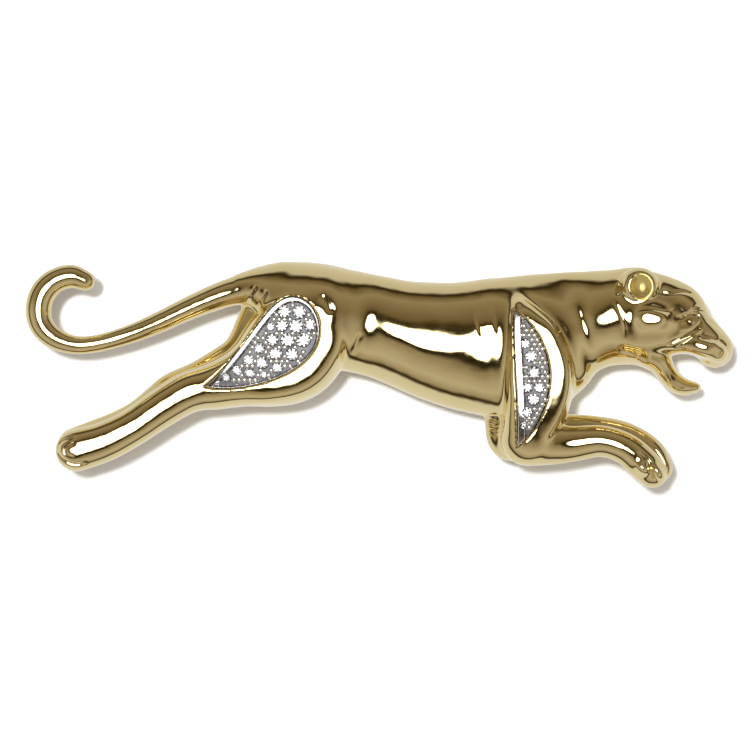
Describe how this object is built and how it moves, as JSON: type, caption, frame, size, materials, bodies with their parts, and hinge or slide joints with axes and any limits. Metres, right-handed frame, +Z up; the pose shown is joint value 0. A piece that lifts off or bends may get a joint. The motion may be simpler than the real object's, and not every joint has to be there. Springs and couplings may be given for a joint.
{
  "type": "leaping cat brooch",
  "caption": "Leaping big cat in polished yellow gold, with curled tail, stone-set plates on haunch and shoulder, and a hinged pin with a rotating safety catch on its hollow back.",
  "frame": {"origin": "on the pin stem's axis, midway between the joint rivet and the catch, behind the hollow back", "axes": "+X along the pin stem towards its point and the cat's head, +Z up as the brooch is worn, -Y towards the viewer"},
  "size_m": [0.0601, 0.0116, 0.0193],
  "materials": {
    "yellow_gold": "mirror-polished 14 karat yellow gold",
    "white_gold": "rhodium-plated 14 karat white gold, bright-cut rims",
    "diamond": "round brilliant-cut melee diamond"
  },
  "bodies": {
    "brooch": {"body_casting": "yellow_gold", "tail": "yellow_gold", "hind_leg_far": "yellow_gold", "foreleg_near": "yellow_gold", "foreleg_far": "yellow_gold", "haunch_plate": "white_gold", "shoulder_plate": "white_gold", "haunch_stone_01": "diamond", "haunch_stone_02": "diamond", "haunch_stone_03": "diamond", "haunch_stone_04": "diamond", "haunch_stone_05": "diamond", "haunch_stone_06": "diamond", "haunch_stone_07": "diamond", "haunch_stone_08": "diamond", "haunch_stone_09": "diamond", "haunch_stone_10": "diamond", "haunch_stone_11": "diamond", "haunch_stone_12": "diamond", "haunch_stone_13": "diamond", "haunch_stone_14": "diamond", "haunch_stone_15": "diamond", "haunch_stone_16": "diamond", "haunch_stone_17": "diamond", "haunch_stone_18": "diamond", "haunch_stone_19": "diamond", "haunch_stone_20": "diamond", "shoulder_stone_01": "diamond", "shoulder_stone_02": "diamond", "shoulder_stone_03": "diamond", "shoulder_stone_04": "diamond", "shoulder_stone_05": "diamond", "shoulder_stone_06": "diamond", "shoulder_stone_07": "diamond", "shoulder_stone_08": "diamond", "hinge_bridge": "yellow_gold", "catch_bridge": "yellow_gold", "pin_joint": "yellow_gold", "joint_rivet": "yellow_gold", "catch_housing": "yellow_gold"},
    "pin": {"pin_stem": "white_gold"},
    "catch": {"catch_rotor": "yellow_gold"}
  },
  "joints": [
    {"name": "pin_swing", "type": "hinge", "parent": "brooch", "child": "pin", "pos_m": [-0.0125, 0, 0], "axis": [0, 0, 1], "range_deg": [0, 110]},
    {"name": "catch_turn", "type": "hinge", "parent": "brooch", "child": "catch", "pos_m": [0.0126, 0, 0], "axis": [1, 0, 0], "range_deg": [0, 100]}
  ]
}
